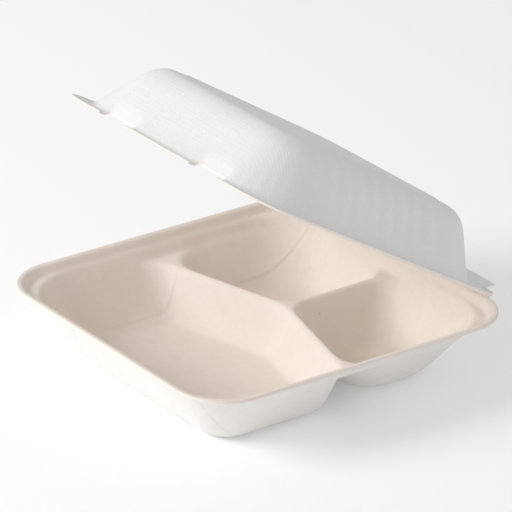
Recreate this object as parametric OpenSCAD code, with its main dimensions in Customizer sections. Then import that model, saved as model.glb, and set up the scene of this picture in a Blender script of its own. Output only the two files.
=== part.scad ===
// Hinged pulp food box with three compartments: a tray and a lid moulded as one sheet.
// The box stands on its floor with the lid part open. X is the width, Y runs from front to hinge, Z is up.

/* [Tray] */
// Width of the tray across its rim
tray_w = 229; // [200:1:260]
// Depth of the tray from the front rim to the back rim
tray_d = 229; // [200:1:260]
// Height of the rim above the table
tray_h = 45; // [40:1:60]
// Thickness of the pulp sheet
wall = 0.9; // [0.7:0.1:1.4]
// Width of the flat rim
rim_w = 4.5; // [3:0.5:7]
// Depth of the edge that is turned down round the rim
rim_lip = 2; // [1.5:0.5:4]
// Corner radius of the tray's rim
rim_r = 34; // [24:1:44]
// Drop from the rim to the shoulder that the lid sits on
belt_h = 5; // [4:0.5:8]
// Width of the shoulder
shoulder_w = 3.5; // [2:0.5:6]

/* [Compartments] */
// How far the dividers stay below the rim
divider_drop = 12; // [9:0.5:18]
// Inset of the front wall at the floor, from the rim's edge
front_inset = 30.5; // [24:0.5:36]
// Inset of the front compartment's side walls at the floor
side_inset = 34.5; // [28:0.5:38]
// Inset of the back wall at the floor
back_inset = 31.5; // [26:0.5:36]
// Inset of the small compartments' side walls at the floor
small_inset = 41; // [34:0.5:46]
// Place of the long divider's front face on the centre line, from the middle of the tray
divider_y = 20; // [0:1:30]
// Angle at which the long divider falls away to each side
divider_angle = 14.5; // [0:0.5:20]
// Thickness of the dividers at their crest
divider_t = 5.5; // [4:0.5:10]
// How far a divider's face leans out from crest to floor
divider_lean = 8; // [4:0.5:12]
// Corner radius where the walls meet the shoulder
wall_r = 42; // [30:1:50]
// Corner radius where the dividers' crest meets the side walls
end_r = 20; // [12:1:30]
// Radius of the long divider's bend in the middle
bend_r = 45; // [30:1:70]
// Corner radius of the front compartment's back corners at the floor
back_r = 8; // [6:1:16]
// Corner radius of the front compartment's front corners at the floor
front_r = 16; // [12:1:26]
// Corner radius of the small compartments at the floor
floor_r = 24; // [14:1:28]
// Height of the curve between a wall and the floor
floor_blend = 8; // [4:0.5:12]

/* [Lid] */
// Side gap between the lid's rim and the tray's belt
lid_gap = 0.5; // [0.3:0.1:1.5]
// Gap between the lid's front edge and the tray's belt
lid_front_gap = 3; // [1:0.5:5]
// Height of the lid above its rim, at the back
lid_h = 37; // [28:0.1:46]
// How much higher the lid is at the front
lid_rise = 5; // [0:0.5:8]
// Inset of the lid's side walls at the top, from its rim's edge
lid_side_inset = 33; // [26:0.5:40]
// Inset of the lid's front wall at the top
lid_front_inset = 30; // [24:0.5:40]
// Inset of the lid's back wall at the top
lid_back_inset = 26; // [20:0.5:34]
// Inset of the lid's back wall at its foot
lid_back_foot = 10; // [5:0.5:12]
// Corner radius at the foot of the lid's walls
lid_foot_r = 46; // [30:1:56]
// Corner radius of the lid's top
lid_top_r = 24; // [16:1:30]
// Height of the curve between the lid's walls and its top
lid_blend = 9; // [5:0.5:12]
// How far the raised panel of the lid's top stands in from the top's edge
panel_in = 5; // [3:0.5:8]
// Height of that panel
panel_h = 0.8; // [0.4:0.1:1.2]
// Height of the two locking recesses in the lid's front wall
recess_h = 8; // [5:0.5:12]
// Width of a locking recess at its back
recess_w = 24; // [16:1:32]
// Depth of a locking recess at the foot of the wall
recess_d = 3.4; // [2:0.2:5]
// Distance between the centres of the two recesses
recess_pitch = 93.5; // [60:0.5:110]
// How far the lid stands open, from where it rests on the tray's shoulder
open_angle = 32.7; // [0:0.1:90]

/* [Flutes] */
// Number of flutes in the tray's front wall
flute_count = 7; // [3:1:9]
// Distance from one flute of the tray to the next
flute_pitch = 13.3; // [10:0.1:16]
// Number of flutes in each side wall of the lid
lid_flute_count = 8; // [3:1:9]
// Distance from one flute of the lid to the next
lid_flute_pitch = 12.2; // [10:0.1:14]
// Place of the middle of the lid's flutes, from the middle of the tray
lid_flute_y = -4; // [-8:1:6]
// How far a flute stands out of its wall
flute_depth = 1.5; // [0.5:0.1:2.5]

/* [Hinge] */
// Length of the hinge strip
hinge_w = 164; // [100:1:170]
// How far the fold line stands behind the tray's rim
hinge_reach = 3.4; // [2:0.2:8]
// Free gap at the fold, and under the lid's rim and strip
hinge_gap = 0.5; // [0.4:0.1:0.8]

/* [Hidden] */
pulp_beige = [0.90, 0.84, 0.78];
pulp_white = [0.95, 0.94, 0.92];
arc_steps = 8;
blend_steps = 5;
flute_steps = 4;
rim_in = rim_w + wall / 2;
shoulder_in = rim_in + shoulder_w;
shoulder_z = tray_h - belt_h;
deck_z = tray_h - divider_drop;
belt_r = rim_r - rim_in;
belt_draft = 0.4;
crest_r = mix(wall_r, front_r, divider_drop / tray_h);
crest_round = 1.4;
crest_depth = 2.4;
back_y = hinge_reach / 2;
fold_y = tray_d / 2 + hinge_reach;
fold_z = tray_h + hinge_gap / 2;
lid_w = tray_w - 2 * (rim_in + belt_draft + lid_gap);
lid_back = tray_d / 2 - rim_in - belt_draft - lid_gap;
lid_front = -tray_d / 2 + rim_in + belt_draft + lid_front_gap;
lid_r = rim_r - rim_in - belt_draft - lid_gap;
lid_z = tray_h + hinge_gap;
close_tilt = asin((fold_z - shoulder_z) / (fold_y - lid_front));
tab_r = 2.5;
slip = 0.02;

// Small vector helpers
function unit(v) = v / norm(v);
function mix(a, b, t) = a + (b - a) * t;

// Points of one rounded corner b of a convex outline that runs a, b, c against the clock
function corner(a, b, c, r) =
    let (u = unit(a - b), v = unit(c - b), half = acos(u * v) / 2,
         centre = b + unit(u + v) * r / sin(half),
         start = b + u * r / tan(half) - centre,
         from = atan2(start[1], start[0]))
    [for (i = [0:arc_steps])
        centre + r * [cos(from + (180 - 2 * half) * i / arc_steps), sin(from + (180 - 2 * half) * i / arc_steps)]];

// Points along a fluted wall: the offset along it, and how far the wall stands out there
function flutes(count, pitch) =
    [for (i = [0:count * flute_steps])
        [(i / flute_steps - count / 2) * pitch, flute_depth * abs(sin(180 * i / flute_steps))]];
tray_flutes = flutes(flute_count, flute_pitch);
lid_flutes = flutes(lid_flute_count, lid_flute_pitch);

// A closed solid through rings of points, from the lowest ring to the highest
module loft(rings) {
    n = len(rings[0]);
    last = (len(rings) - 1) * n;
    points = [for (ring = rings) each ring];
    sides = [for (j = [0:len(rings) - 2], i = [0:n - 1])
        let (a = j * n + i, b = j * n + (i + 1) % n)
        each [[a, a + n, b + n], [a, b + n, b]]];
    floor_face = [for (i = [0:n - 1]) i];
    top_face = [for (i = [n - 1:-1:0]) last + i];
    polyhedron(points = points, faces = concat([floor_face], [top_face], sides), convexity = 6);
}

// A level ring at height z from plan points
function at(plan, z) = [for (p = plan) [p[0], p[1], z]];

// A flat plate with rounded corners, sizes measured in from the tray's rim
module plate(inset, r, z0, z1) {
    x = tray_w / 2 - inset - r;
    y = tray_d / 2 - inset - r;
    translate([0, 0, z0]) linear_extrude(z1 - z0)
        hull() for (sx = [-1, 1], sy = [-1, 1]) translate([sx * x, sy * y]) circle(r, $fn = 4 * arc_steps);
}

// A drafted band between two such plates
module band(inset0, r0, z0, inset1, r1, z1) {
    hull() {
        plate(inset0, r0, z0, z0 + slip);
        plate(inset1, r1, z1 - slip, z1);
    }
}

// Inset of the common wall under the shoulder, at height z, on each side of the tray
function slope_in(floor_in, z) = mix(floor_in, shoulder_in, (z - wall) / (shoulder_z - wall));

// Outline of the front compartment at height z, with the sheet's outside at skin further out
function front_plan(z, skin, lip, squeeze) =
    let (t = (deck_z - z) / (deck_z - wall),
         x = tray_w / 2 - slope_in(side_inset, z) + skin - squeeze,
         front = -tray_d / 2 + slope_in(front_inset, z) - skin + squeeze,
         mid = divider_y - divider_lean * t + skin + lip - squeeze,
         end = mid - x * tan(divider_angle),
         r = mix(end_r, back_r, t) - squeeze / 2,
         r_front = mix(crest_r, front_r, t) - squeeze / 2,
         amp = min(1, 1.6 * t) * (1 - 0.5 * squeeze / floor_blend),
         p = [[-x, front], [x, front], [x, end], [0, mid], [-x, end]])
    [each corner(p[4], p[0], p[1], r_front),
     each [for (f = tray_flutes) [f[0], front - amp * f[1]]],
     each corner(p[0], p[1], p[2], r_front),
     each corner(p[1], p[2], p[3], r),
     each corner(p[2], p[3], p[4], bend_r),
     each corner(p[3], p[4], p[0], r)];

// Outline of the right-hand small compartment at height z
function small_plan(z, skin, lip, squeeze) =
    let (t = (deck_z - z) / (deck_z - wall),
         inner = divider_t / 2 + divider_lean * t - skin - lip + squeeze,
         outer = tray_w / 2 - slope_in(small_inset, z) + skin - squeeze,
         back = tray_d / 2 - slope_in(back_inset, z) + skin - squeeze,
         face = divider_y + divider_t + divider_lean * t - skin - lip + squeeze,
         r = mix(crest_r, floor_r, t) - squeeze / 2,
         end = mix(end_r, floor_r, t) - squeeze / 2,
         near = mix(floor_r * 0.65, floor_r, t) - squeeze / 2,
         p = [[inner, face - inner * tan(divider_angle)], [outer, face - outer * tan(divider_angle)],
              [outer, back], [inner, back]])
    [each corner(p[3], p[0], p[1], near),
     each corner(p[0], p[1], p[2], end),
     each corner(p[1], p[2], p[3], r),
     each corner(p[2], p[3], p[0], near)];

// Heights and extra insets of a compartment's rings, from the floor's curve up to the crest
blend_rings = [for (i = [0:blend_steps]) let (a = 90 * (1 - i / blend_steps))
    [floor_blend * (1 - sin(a)), 0.7 * floor_blend * (1 - cos(a))]];

// Inside of a compartment, with its crest rounded over
front_hollow = concat(
    [for (b = blend_rings) at(front_plan(wall + b[0], 0, 0, b[1]), wall + b[0])],
    [for (k = [0:3]) let (u = k / 3, z = deck_z - crest_depth * (1 - u))
        at(front_plan(z, 0, crest_round * (1 - sqrt(1 - u * u)), 0), z)],
    [at(front_plan(deck_z, 0, crest_round, 0), deck_z + 0.4)]);
small_hollow = concat(
    [for (b = blend_rings) at(small_plan(wall + b[0], 0, 0, b[1]), wall + b[0])],
    [for (k = [0:3]) let (u = k / 3, z = deck_z - crest_depth * (1 - u))
        at(small_plan(z, 0, crest_round * (1 - sqrt(1 - u * u)), 0), z)],
    [at(small_plan(deck_z, 0, crest_round, 0), deck_z + 0.4)]);

// Outside of a compartment, one sheet further out and lower
front_shell = concat(
    [for (b = blend_rings) at(front_plan(wall + b[0], wall, 0, b[1]), b[0])],
    [at(front_plan(deck_z - wall, wall, 0, 0), deck_z - wall)],
    [at(front_plan(deck_z - wall, wall - slip, 0, 0), deck_z - wall / 2)]);
small_shell = concat(
    [for (b = blend_rings) at(small_plan(wall + b[0], wall, 0, b[1]), b[0])],
    [at(small_plan(deck_z - wall, wall, 0, 0), deck_z - wall)],
    [at(small_plan(deck_z - wall, wall - slip, 0, 0), deck_z - wall / 2)]);

module mirrored() {
    children();
    mirror([1, 0, 0]) children();
}

// Common well between the shoulder and the dividers' crest; skin 0 is the inside
function well_plan(z, skin) =
    let (x = tray_w / 2 - slope_in(side_inset, z) + skin,
         front = -tray_d / 2 + slope_in(front_inset, z) - skin,
         back = tray_d / 2 - slope_in(back_inset, z) + skin,
         r = mix(wall_r, crest_r, (shoulder_z - z) / (shoulder_z - deck_z)),
         p = [[-x, front], [x, front], [x, back], [-x, back]])
    [each corner(p[3], p[0], p[1], r),
     each corner(p[0], p[1], p[2], r),
     each corner(p[1], p[2], p[3], r),
     each corner(p[2], p[3], p[0], r)];

module tray_outside() {
    difference() {
        plate(0, rim_r, tray_h - rim_lip, tray_h);
        plate(wall, rim_r - wall, tray_h - 2 * rim_lip, tray_h - wall);
    }
    band(rim_in + belt_draft - wall, belt_r - belt_draft + wall, shoulder_z - wall,
        rim_in - wall, belt_r + wall, tray_h - wall / 2);
    loft([at(well_plan(deck_z, wall), deck_z - wall), at(well_plan(shoulder_z, wall), shoulder_z)]);
    loft(front_shell);
    mirrored() loft(small_shell);
}

module tray_inside() {
    band(rim_in + belt_draft, belt_r - belt_draft, shoulder_z, rim_in, belt_r, tray_h - 0.6);
    band(rim_in, belt_r, tray_h - 0.6 - slip, rim_in - 0.6, belt_r + 0.6, tray_h + slip);
    loft([at(well_plan(deck_z, 0), deck_z), at(well_plan(shoulder_z - 1, 0), shoulder_z - 1),
          at(well_plan(shoulder_z - 1, 0.9), shoulder_z + slip)]);
    loft(front_hollow);
    mirrored() loft(small_hollow);
}

// Flat strip between the tray's rim and the fold line
module tray_strip() {
    translate([-hinge_w / 2, tray_d / 2 - rim_w, tray_h - wall])
        cube([hinge_w, rim_w + hinge_reach - hinge_gap / 2, wall]);
}

module tray() {
    color(pulp_beige) translate([0, -back_y, 0]) {
        difference() {
            tray_outside();
            tray_inside();
        }
        tray_strip();
    }
}

// Outline of the lid's wall at height z above the lid's rim, fluted on both sides
function lid_plan(z, skin, squeeze) =
    let (t = z / lid_h,
         x = lid_w / 2 - mix(rim_w, lid_side_inset, t) + skin - squeeze,
         front = lid_front + mix(rim_w, lid_front_inset, t) - skin + squeeze,
         back = lid_back - mix(lid_back_foot, lid_back_inset, t) + skin - squeeze,
         r = mix(lid_foot_r, lid_top_r, t) - squeeze / 2,
         amp = min(1, 2 * t) * (1 - 0.6 * squeeze / lid_blend),
         p = [[-x, front], [x, front], [x, back], [-x, back]])
    [each corner(p[3], p[0], p[1], r),
     each corner(p[0], p[1], p[2], r),
     each [for (f = lid_flutes) [x + amp * f[1], lid_flute_y + f[0]]],
     each corner(p[1], p[2], p[3], r),
     each corner(p[2], p[3], p[0], r),
     each [for (f = lid_flutes) [-x - amp * f[1], lid_flute_y - f[0]]]];

// A ring of the lid at height z, raised toward the front
function lid_ring(plan, z) =
    [for (p = plan) [p[0], p[1], z * (1 + lid_rise * (lid_back - p[1]) / (lid_back - lid_front) / lid_h)]];

lid_rings = concat(
    [for (i = [0:blend_steps]) let (a = 90 * i / blend_steps)
        [lid_h - wall - lid_blend * (1 - sin(a)), 0.8 * lid_blend * (1 - cos(a))]],
    [[lid_h - wall, 0.8 * lid_blend + panel_in],
     [lid_h - wall + panel_h, 0.8 * lid_blend + panel_in + 1.5 * panel_h]]);

// Wedge in front of the lid's wall that makes one locking recess; skin moves its faces inwards
module recess_cut(skin) {
    slope = (lid_front_inset - rim_w) / (lid_h + lid_rise);
    lean = slope - recess_d / recess_h;
    flare = 1.8;
    foot_y = lid_front + rim_w + recess_d + skin;
    near_y = lid_front - 2;
    for (side = [-1, 1]) translate([side * recess_pitch / 2, 0, 0])
        hull() {
            span = recess_w + 2 * skin;
            wide = span + 2 * flare * (foot_y - near_y);
            translate([-span / 2, foot_y, 0]) cube([span, slip, slip]);
            translate([-span / 2 + 1, foot_y + lean * recess_h, recess_h + skin]) cube([span - 2, slip, slip]);
            translate([-wide / 2, near_y, -1]) cube([wide, slip, recess_h + skin + 1]);
        }
}

module lid_rim() {
    x = lid_w / 2 - lid_r;
    difference() {
        linear_extrude(rim_lip) hull() lid_corners(lid_r);
        translate([0, 0, wall]) linear_extrude(rim_lip) hull() lid_corners(lid_r - wall);
    }
}

// Corner circles of the lid's rim, on centres that don't move with the radius
module lid_corners(r) {
    for (sx = [-1, 1], y = [lid_front + lid_r, lid_back - lid_r])
        translate([sx * (lid_w / 2 - lid_r), y]) circle(r, $fn = 4 * arc_steps);
}

module lid_outside() {
    lid_rim();
    difference() {
        loft(concat([lid_ring(lid_plan(0, wall, 0), 0)],
            [for (b = lid_rings) lid_ring(lid_plan(b[0], wall, b[1]), b[0] + wall)]));
        recess_cut(0);
    }
}

module lid_inside() {
    difference() {
        loft(concat([lid_ring(lid_plan(0, 0, 0), -slip)],
            [for (b = lid_rings) lid_ring(lid_plan(b[0], 0, b[1]), b[0])]));
        recess_cut(wall);
    }
}

// Flat strip from the lid's rim to the fold line, level with the rim
module lid_strip() {
    depth = fold_y - hinge_gap / 2 - lid_back + rim_w;
    translate([0, lid_back - rim_w, 0]) linear_extrude(wall) rounded_plate(hinge_w, depth, 0.8);
}

module closed_lid() {
    difference() {
        lid_outside();
        lid_inside();
        recess_trim();
        strip_cut();
    }
    lid_strip();
}

// Takes the turned-up edge off the rim where the strip leaves it
module strip_cut() {
    translate([-hinge_w / 2, lid_back - rim_w / 2, wall]) cube([hinge_w, rim_w, rim_lip]);
}

// Outline of a plate w wide with rounded corners that starts at y = 0 and is centred in x
module rounded_plate(w, depth, r) {
    hull() for (sx = [-1, 1], y = [r, depth - r]) translate([sx * (w / 2 - r), y]) circle(r, $fn = 16);
}

// Cuts the rim away in front of each recess, and rounds the ends of the tabs that are left
module recess_trim() {
    for (side = [-1, 1]) translate([side * recess_pitch / 2, lid_front, -1])
        linear_extrude(rim_lip + 2) offset(-tab_r) offset(tab_r) {
            translate([-recess_w, -2 * tab_r]) square([2 * recess_w, 2 * tab_r - slip]);
            rounded_plate(recess_w + 4, rim_w + recess_d, 2);
        }
}

module lid() {
    color(pulp_white) translate([0, -back_y, 0])
        translate([0, fold_y, fold_z]) rotate([close_tilt - open_angle, 0, 0]) translate([0, -fold_y, lid_z - fold_z])
            closed_lid();
}

tray();
lid();
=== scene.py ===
# %% [markdown]
# This is a takeaway food box of moulded plant fibre, like grey egg-carton pulp but white and pressed thin.
# The real box is one sheet: wet fibre is sucked onto a wire screen in the shape of the tray and the lid,
# then pressed and dried. So every edge is soft, the sheet has the same thickness all over, and the screen
# leaves a fine weave on it. The solids of the box come from the frame. Here each half gets a finer skin and
# its finish.

# %% Load the frame
import math
import bpy
from mathutils import Matrix, Vector


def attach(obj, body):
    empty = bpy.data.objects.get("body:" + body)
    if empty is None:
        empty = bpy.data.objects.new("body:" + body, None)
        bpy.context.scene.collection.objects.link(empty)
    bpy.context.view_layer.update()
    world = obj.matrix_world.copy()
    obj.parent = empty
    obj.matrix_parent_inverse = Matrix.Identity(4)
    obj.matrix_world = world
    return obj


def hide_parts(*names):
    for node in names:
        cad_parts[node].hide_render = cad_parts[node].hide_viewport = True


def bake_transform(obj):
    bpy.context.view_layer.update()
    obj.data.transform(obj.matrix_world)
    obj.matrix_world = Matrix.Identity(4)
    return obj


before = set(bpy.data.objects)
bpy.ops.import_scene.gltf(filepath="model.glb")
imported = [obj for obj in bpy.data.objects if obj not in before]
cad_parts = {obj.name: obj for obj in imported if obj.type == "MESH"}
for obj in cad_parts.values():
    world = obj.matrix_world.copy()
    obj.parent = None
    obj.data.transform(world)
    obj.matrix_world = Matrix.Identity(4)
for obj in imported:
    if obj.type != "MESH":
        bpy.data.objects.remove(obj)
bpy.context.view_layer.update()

bpy.ops.object.select_all(action="DESELECT")

# %% [markdown]
# All lengths are metres in Blender. The few sizes below are the ones that the two skins share with the
# solids: the fold line at the back, how far the lid is tilted up, the outline of each rim and the sheet's
# thickness. The numbers of the two outlines are millimetres. TRAY_EDGE and LID_EDGE say how far each net is
# set in for the edge that is turned over later, and RECESS_X is where a recess stands to the left and right
# of the middle.

# %% Sizes of the box
MM = 0.001
FOLD = Vector((0, 116.2, 45.25)) * MM
LID_TILT = math.radians(31.357)
SHEET = 0.9 * MM
STRIP_HALF = 82 * MM
STRIP_END = 115.95 * MM
TRAY_EDGE = 0.6
LID_EDGE = 1.4
RECESS_X = 46.75
TRAY = {"x": 114.5, "front": -116.2, "back": 112.8, "r": 34.0, "top": 45.0}
LID = {"x": 108.65, "front": -107.85, "back": 106.95, "r": 28.15, "top": 46.4}
lid_place = Matrix.Translation(FOLD) @ Matrix.Rotation(-LID_TILT, 4, "X") @ Matrix.Translation(-FOLD)
print("fold line at", tuple(round(v, 4) for v in FOLD))

# %% [markdown]
# The camera comes next, so that every test picture has the photograph's view. It is a long lens far away:
# in the photograph, lines that are parallel on the box stay nearly parallel.

# %% Camera
AZ, EL, ROLL = math.radians(54.30), math.radians(24.41), math.radians(0.24)
TARGET = Vector((-73.99, 51.31, 30.0)) * MM
DISTANCE = 3.2
FOCAL_PIXELS, PHOTO_PIXELS = 5122, 512
back = Vector((math.sin(AZ) * math.cos(EL), -math.cos(AZ) * math.cos(EL), math.sin(EL)))
bpy.ops.object.camera_add(location=TARGET + back * DISTANCE)
camera = bpy.context.object
camera.name = "photo_camera"
camera.rotation_mode = "QUATERNION"
camera.rotation_quaternion = (-back).to_track_quat("-Z", "Y") @ Matrix.Rotation(ROLL, 4, "Z").to_quaternion()
camera.data.sensor_width = 36
camera.data.lens = FOCAL_PIXELS / PHOTO_PIXELS * camera.data.sensor_width
camera.data.clip_end = 50
bpy.context.scene.camera = camera
print("camera lens", round(camera.data.lens, 1), "mm")

# %% [markdown]
# Each half is a thin sheet without undercuts, so it can be made like a cloth laid over a form: a fine, flat
# net is held above the solid and let drop onto it. A grid is the net, and a Shrinkwrap modifier that
# projects straight down does the dropping. A little smoothing of the heights then rounds each edge as wet
# fibre does. First, a helper adds the net and trims it to the rim's rounded outline with one straight cut
# after another.

# %% Helper: a net cut to a rounded outline
def rounded_net(name, rim, inset, cell, height):
    x, r = rim["x"] - inset, rim["r"] - inset
    front, back_y = rim["front"] + inset, rim["back"] - inset
    middle = (front + back_y) / 2
    size = max(2 * x, back_y - front) + 4
    count = round(size / cell)
    arc_steps = 9
    bpy.ops.mesh.primitive_grid_add(x_subdivisions=count, y_subdivisions=count, size=size * MM,
                                    location=(0, middle * MM, height * MM))
    net = bpy.context.object
    net.name = name
    bpy.ops.object.transform_apply(location=True, rotation=True, scale=True)
    bpy.ops.object.mode_set(mode="EDIT")
    cuts = []
    for sx in (-1, 1):
        cuts.append((sx * x, 0, sx, 0))
        for sy, edge in ((-1, front), (1, back_y)):
            cuts.append((0, edge, 0, sy))
            for step in range(1, arc_steps):
                a = math.radians(90 * step / arc_steps)
                nx, ny = sx * math.cos(a), sy * math.sin(a)
                cuts.append((sx * (x - r) + r * nx, edge - sy * r + r * ny, nx, ny))
    for px, py, nx, ny in cuts:
        bpy.ops.mesh.select_all(action="SELECT")
        bpy.ops.mesh.bisect(plane_co=(px * MM, py * MM, 0), plane_no=(nx, ny, 0), clear_outer=True)
    for sx in (-1, 1):
        bpy.ops.mesh.select_all(action="SELECT")
        bpy.ops.mesh.bisect(plane_co=(sx * STRIP_HALF, 0, 0), plane_no=(1, 0, 0))
    bpy.ops.object.mode_set(mode="OBJECT")
    print(name, "net has", len(net.data.vertices), "points")
    return net

# %% Helper: let a net drop onto its solid
def drop_onto(net, node, place, flat):
    net.matrix_world = place
    bpy.context.view_layer.update()
    top = max(v.co.z for v in net.data.vertices)
    wrap = net.modifiers.new("drop", "SHRINKWRAP")
    wrap.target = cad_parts[node]
    wrap.wrap_method = "PROJECT"
    wrap.use_project_z = True
    wrap.use_negative_direction = True
    wrap.use_positive_direction = False
    bpy.ops.object.modifier_apply(modifier="drop")
    missed = [v for v in net.data.vertices if v.co.z > top - 0.0005]
    for v in missed:
        v.co.z = flat * MM
    print(net.name, "dropped,", len(missed), "points bridged over cut-outs")

# %% Helper: choose vertices or edges by place
def choose_points(net, test):
    bpy.ops.object.mode_set(mode="EDIT")
    bpy.ops.mesh.select_all(action="DESELECT")
    bpy.ops.mesh.select_mode(type="VERT")
    bpy.ops.object.mode_set(mode="OBJECT")
    for v in net.data.vertices:
        v.select = test(v.co)
    bpy.ops.object.mode_set(mode="EDIT")


def choose_border(net, test):
    uses = {}
    for face in net.data.polygons:
        for key in face.edge_keys:
            uses[key] = uses.get(key, 0) + 1
    bpy.ops.object.mode_set(mode="EDIT")
    bpy.ops.mesh.select_all(action="DESELECT")
    bpy.ops.mesh.select_mode(type="EDGE")
    bpy.ops.object.mode_set(mode="OBJECT")
    picked = 0
    for edge in net.data.edges:
        a, b = (net.data.vertices[i].co for i in edge.vertices)
        edge.select = uses.get(edge.key, 0) == 1 and test((a + b) / 2)
        picked += edge.select
    bpy.ops.object.mode_set(mode="EDIT")
    return picked

# %% Helper: round the edges by evening out the heights, all but the outermost band of the rim
def soften(net, rim, repeat):
    kept = 2.2 * MM
    x, front, rear = rim["x"] * MM - kept, rim["front"] * MM + kept, rim["back"] * MM - kept
    choose_points(net, lambda p: abs(p.x) < x and front < p.y < rear)
    for i in range(repeat):
        bpy.ops.mesh.vertices_smooth(factor=0.5, repeat=1, xaxis=False, yaxis=False, zaxis=True)
    bpy.ops.object.mode_set(mode="OBJECT")

# %% [markdown]
# The rim's edge is turned over, down on the tray and up on the lid, which stiffens it. In edit mode the
# border edges are extruded a few short steps that follow the bend. At the back, between the two corners,
# the border runs on flat instead: that is the strip that carries the fold.

# %% Helper: turn the rim's edge and run out the hinge strip
def turn_edge(net, steps, middle_y, half):
    count = choose_border(net, lambda p: not (abs(p.x) < STRIP_HALF + 0.0002 and p.y > 0.09))
    for out, drop in steps:
        bpy.ops.mesh.extrude_edges_move(TRANSFORM_OT_translate={"value": (0, 0, drop * MM)})
        scale = 1 + out / half
        bpy.ops.transform.resize(value=(scale, scale, 1), center_override=(0, middle_y * MM, 0))
        half += out
    bpy.ops.object.mode_set(mode="OBJECT")
    print(net.name, "edge turned along", count, "edges")


def run_out_strip(net, start_y, steps):
    choose_border(net, lambda p: abs(p.x) < STRIP_HALF and abs(p.y - start_y * MM) < 0.0003)
    for i in range(steps):
        bpy.ops.mesh.extrude_edges_move(
            TRANSFORM_OT_translate={"value": (0, (STRIP_END - start_y * MM) / steps, 0)})
    bpy.ops.object.mode_set(mode="OBJECT")


def give_thickness(net, rim_slot):
    bpy.ops.object.mode_set(mode="EDIT")
    bpy.ops.mesh.select_all(action="SELECT")
    bpy.ops.mesh.normals_make_consistent(inside=False)
    bpy.ops.object.mode_set(mode="OBJECT")
    if sum(f.normal.z * f.area for f in net.data.polygons) < 0:
        net.data.flip_normals()
    wall = net.modifiers.new("sheet", "SOLIDIFY")
    wall.thickness = SHEET
    wall.offset = -1
    wall.use_even_offset = False
    wall.material_offset = 1
    wall.material_offset_rim = rim_slot
    bpy.ops.object.modifier_apply(modifier="sheet")
    bpy.ops.object.shade_smooth_by_angle(angle=math.radians(50))

# %% [markdown]
# Pulp is matt, with no coat. What makes it look like fibre is three sizes of unevenness: cloudy patches
# some centimetres wide, a fine grain below a millimetre, and the weave of the wire screen at about a
# millimetre and a half. Now and then a dark speck of bran is left in. All patterns are on object
# coordinates. On the lid a Mapping node turns them with the lid, so that the weave follows its walls.

# %% Material: moulded pulp
def pulp(name, light, dark, weave, turn):
    mat = bpy.data.materials.new(name)
    mat.use_nodes = True
    nodes, links = mat.node_tree.nodes, mat.node_tree.links
    shader = nodes["Principled BSDF"]
    shader.inputs["Roughness"].default_value = 0.9
    shader.inputs["Specular IOR Level"].default_value = 0.18
    coords = nodes.new("ShaderNodeTexCoord")
    place = nodes.new("ShaderNodeMapping")
    place.inputs["Rotation"].default_value = (turn, 0, 0)
    links.new(coords.outputs["Object"], place.inputs["Vector"])

    def noise(scale, detail, rough=0.55):
        n = nodes.new("ShaderNodeTexNoise")
        n.inputs["Scale"].default_value = scale
        n.inputs["Detail"].default_value = detail
        n.inputs["Roughness"].default_value = rough
        links.new(place.outputs["Vector"], n.inputs["Vector"])
        return n.outputs["Fac"]

    def ramp(value, stops):
        r = nodes.new("ShaderNodeValToRGB")
        r.color_ramp.elements[0].position = stops[0][0]
        r.color_ramp.elements[0].color = (*stops[0][1], 1)
        r.color_ramp.elements[1].position = stops[1][0]
        r.color_ramp.elements[1].color = (*stops[1][1], 1)
        links.new(value, r.inputs["Fac"])
        return r.outputs["Color"]

    def math_node(kind, a, b):
        m = nodes.new("ShaderNodeMath")
        m.operation = kind
        for i, v in enumerate((a, b)):
            if isinstance(v, (int, float)):
                m.inputs[i].default_value = v
            else:
                links.new(v, m.inputs[i])
        return m.outputs["Value"]

    clouds = noise(28, 3)
    grain = noise(900, 2)
    clumps = noise(190, 3)
    mixed = math_node("ADD", math_node("MULTIPLY", clouds, 0.55), math_node("MULTIPLY", clumps, 0.45))
    colour = ramp(mixed, ((0.36, dark), (0.62, light)))
    specks = nodes.new("ShaderNodeTexVoronoi")
    specks.feature = "F1"
    specks.inputs["Scale"].default_value = 62
    links.new(place.outputs["Vector"], specks.inputs["Vector"])
    near = math_node("LESS_THAN", specks.outputs["Distance"], 0.026)
    rare = math_node("GREATER_THAN", noise(21, 0), 0.57)
    fleck = nodes.new("ShaderNodeMix")
    fleck.data_type = "RGBA"
    links.new(math_node("MULTIPLY", math_node("MULTIPLY", near, rare), 0.45), fleck.inputs["Factor"])
    links.new(colour, fleck.inputs["A"])
    fleck.inputs["B"].default_value = (0.30, 0.20, 0.12, 1)
    links.new(fleck.outputs["Result"], shader.inputs["Base Color"])
    links.new(math_node("ADD", math_node("MULTIPLY", clumps, 0.16), 0.80), shader.inputs["Roughness"])

    screen = 0
    for axis in ("X", "Y", "Z"):
        wave = nodes.new("ShaderNodeTexWave")
        wave.wave_type = "BANDS"
        wave.bands_direction = axis
        wave.inputs["Scale"].default_value = 2 * math.pi / (20 * 0.00155)
        wave.inputs["Distortion"].default_value = 0.6
        wave.inputs["Detail"].default_value = 0
        links.new(place.outputs["Vector"], wave.inputs["Vector"])
        screen = math_node("ADD", wave.outputs["Fac"], screen)
    relief = math_node("ADD", math_node("MULTIPLY", screen, weave), math_node("MULTIPLY", grain, 0.5))
    relief = math_node("ADD", relief, math_node("MULTIPLY", clumps, 0.9))
    bump = nodes.new("ShaderNodeBump")
    bump.inputs["Strength"].default_value = 0.5
    bump.inputs["Distance"].default_value = 0.0004
    links.new(relief, bump.inputs["Height"])
    links.new(bump.outputs["Normal"], shader.inputs["Normal"])
    return mat


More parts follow.
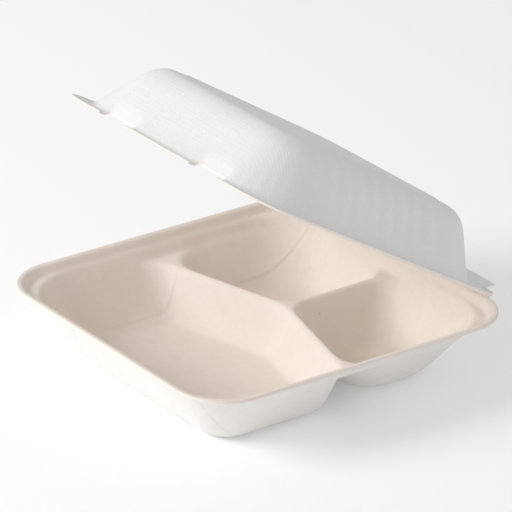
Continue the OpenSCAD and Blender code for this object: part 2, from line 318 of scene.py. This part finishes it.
# The four finishes are one pulp, as the box is one sheet. The two inside ones are set warmer and pinker than
# the outside ones: that tint is painted warm bounce light from the hollows.
tray_inside_painted_bounce = pulp("pulp_tray_inside", (0.90, 0.835, 0.775), (0.88, 0.80, 0.73), 0.06, 0)
# The tray's outside is set a little darker and greyer than the lid's outside, though both halves are one
# sheet: that is painted shade.
tray_outside_painted_shade = pulp("pulp_tray_outside", (0.88, 0.86, 0.84), (0.85, 0.825, 0.80), 0.10, 0)
lid_outside = pulp("pulp_lid_outside", (0.89, 0.88, 0.865), (0.87, 0.855, 0.835), 0.14, LID_TILT)
lid_inside_painted_bounce = pulp("pulp_lid_inside", (0.89, 0.83, 0.775), (0.87, 0.80, 0.74), 0.08, LID_TILT)
print("four pulp finishes")

# %% [markdown]
# The tray: one net, dropped, softened, edged and thickened. The outline is set in by what the turned edge
# adds, so the finished rim ends exactly where the solid's rim does.

# %% Tray skin
tray = rounded_net("tray_sheet", TRAY, TRAY_EDGE, cell=1.22, height=70)
drop_onto(tray, "tray", Matrix.Identity(4), TRAY["top"])
soften(tray, TRAY, 4)
run_out_strip(tray, TRAY["back"] - TRAY_EDGE, 3)
tray_bend = ((0.35, -0.15), (0.2, -0.4), (0.05, -1.45))
turn_edge(tray, tray_bend, (TRAY["front"] + TRAY["back"]) / 2, TRAY["x"] - TRAY_EDGE)
tray.data.materials.append(tray_inside_painted_bounce)
tray.data.materials.append(tray_outside_painted_shade)
give_thickness(tray, 1)
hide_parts("tray")
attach(tray, "tray")
print("tray:", len(tray.data.polygons), "faces")

# %% [markdown]
# The lid is made lying flat, closed, and carried by the same turn about the fold line as the solid. Its rim
# is cut away in front of the two recesses after the sheet has its thickness, with a rounded cutter.

# %% Lid skin
bpy.ops.object.select_all(action="DESELECT")
lid = rounded_net("lid_sheet", LID, LID_EDGE, cell=1.18, height=110)
drop_onto(lid, "lid", lid_place, LID["top"])
soften(lid, LID, 4)
run_out_strip(lid, LID["back"] - LID_EDGE, 4)
lid_bend = ((0.3, 0.12), (0.15, 0.3), (0.05, 0.68))
turn_edge(lid, lid_bend, (LID["front"] + LID["back"]) / 2, LID["x"] - LID_EDGE)
lid.data.materials.append(lid_outside)
lid.data.materials.append(lid_inside_painted_bounce)
give_thickness(lid, 0)
print("lid:", len(lid.data.polygons), "faces")

# %% Cut the lid's rim at the two recesses
for side in (-1, 1):
    bpy.ops.object.select_all(action="DESELECT")
    place = Vector((side * RECESS_X, LID["front"] + 1.95, 46.5)) * MM
    bpy.ops.mesh.primitive_cube_add(size=1, location=place, scale=(28 * MM, 11.9 * MM, 6 * MM))
    cutter = bpy.context.object
    bpy.ops.object.transform_apply(location=True, rotation=True, scale=True)
    round_off = cutter.modifiers.new("round", "BEVEL")
    round_off.width = 2 * MM
    round_off.segments = 4
    round_off.limit_method = "ANGLE"
    bpy.ops.object.modifier_apply(modifier="round")
    cutter.matrix_world = lid_place
    bpy.context.view_layer.update()
    bpy.ops.object.select_all(action="DESELECT")
    bpy.context.view_layer.objects.active = lid
    lid.select_set(True)
    notch = lid.modifiers.new("notch", "BOOLEAN")
    notch.operation = "DIFFERENCE"
    notch.solver = "EXACT"
    notch.object = cutter
    bpy.ops.object.modifier_apply(modifier="notch")
    bpy.data.objects.remove(cutter)
bpy.ops.object.transform_apply(location=True, rotation=True, scale=True)
bpy.ops.object.shade_smooth_by_angle(angle=math.radians(50))
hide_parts("lid")
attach(lid, "lid")
print("lid:", len(lid.data.polygons), "faces after the cuts")

# %% [markdown]
# The fold is the sheet itself, pressed thin along a line so that it bends there. It is a narrow strip that
# bulges back a little between the two halves.

# %% Fold
bpy.ops.object.select_all(action="DESELECT")
bpy.ops.mesh.primitive_grid_add(x_subdivisions=40, y_subdivisions=10, size=2, location=(0, 0, 0))
fold = bpy.context.object
fold.name = "hinge_fold"
reach = (STRIP_END - 0.3 * MM, 44.55 * MM)
over = Matrix.Rotation(-LID_TILT, 4, "X") @ Vector((0, -0.55 * MM, 0.70 * MM)) + FOLD
for v in fold.data.vertices:
    t = (v.co.y + 1) / 2
    y = reach[0] + (over.y - reach[0]) * t
    z = reach[1] + (over.z - reach[1]) * t
    v.co = Vector((v.co.x * STRIP_HALF, y + 0.42 * MM * math.sin(math.pi * t), z))
crease = fold.modifiers.new("thin", "SOLIDIFY")
crease.thickness = 0.22 * MM
crease.offset = 0
bpy.ops.object.modifier_apply(modifier="thin")
bpy.ops.object.shade_smooth()
fold.data.materials.append(tray_outside_painted_shade)
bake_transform(fold)
print("fold:", len(fold.data.polygons), "faces")

# %% [markdown]
# The studio is a large white table, an even white sky and one soft lamp from the front left. The lid's front
# faces the lamp and is the brightest. The table gives off a little light of its own, which keeps it pale.

# %% Table, sky and lamp
bpy.ops.object.select_all(action="DESELECT")
bpy.ops.mesh.primitive_plane_add(size=40, location=(0, 0, -0.0002))
table = bpy.context.object
table.name = "table"
white = bpy.data.materials.new("table_white")
white.use_nodes = True
paint = white.node_tree.nodes["Principled BSDF"]
paint.inputs["Base Color"].default_value = (0.97, 0.97, 0.97, 1)
paint.inputs["Roughness"].default_value = 0.9
paint.inputs["Specular IOR Level"].default_value = 0.0
paint.inputs["Emission Color"].default_value = (1, 1, 1, 1)
paint.inputs["Emission Strength"].default_value = 0.14
table.data.materials.append(white)
world = bpy.data.worlds.new("studio_sky")
bpy.context.scene.world = world
world.use_nodes = True
sky = world.node_tree.nodes["Background"]
sky.inputs["Color"].default_value = (1, 1, 1, 1)
sky.inputs["Strength"].default_value = 0.58
bpy.ops.object.light_add(type="AREA", location=(-0.75, -1.75, 1.05))
lamp = bpy.context.object
lamp.name = "soft_lamp"
lamp.data.shape = "DISK"
lamp.data.size = 1.1
lamp.data.energy = 24
lamp.rotation_mode = "QUATERNION"
lamp.rotation_quaternion = (Vector((0, 0, 0.03)) - lamp.location).to_track_quat("-Z", "Y")
bpy.context.scene.view_settings.view_transform = "Standard"
print("studio ready")
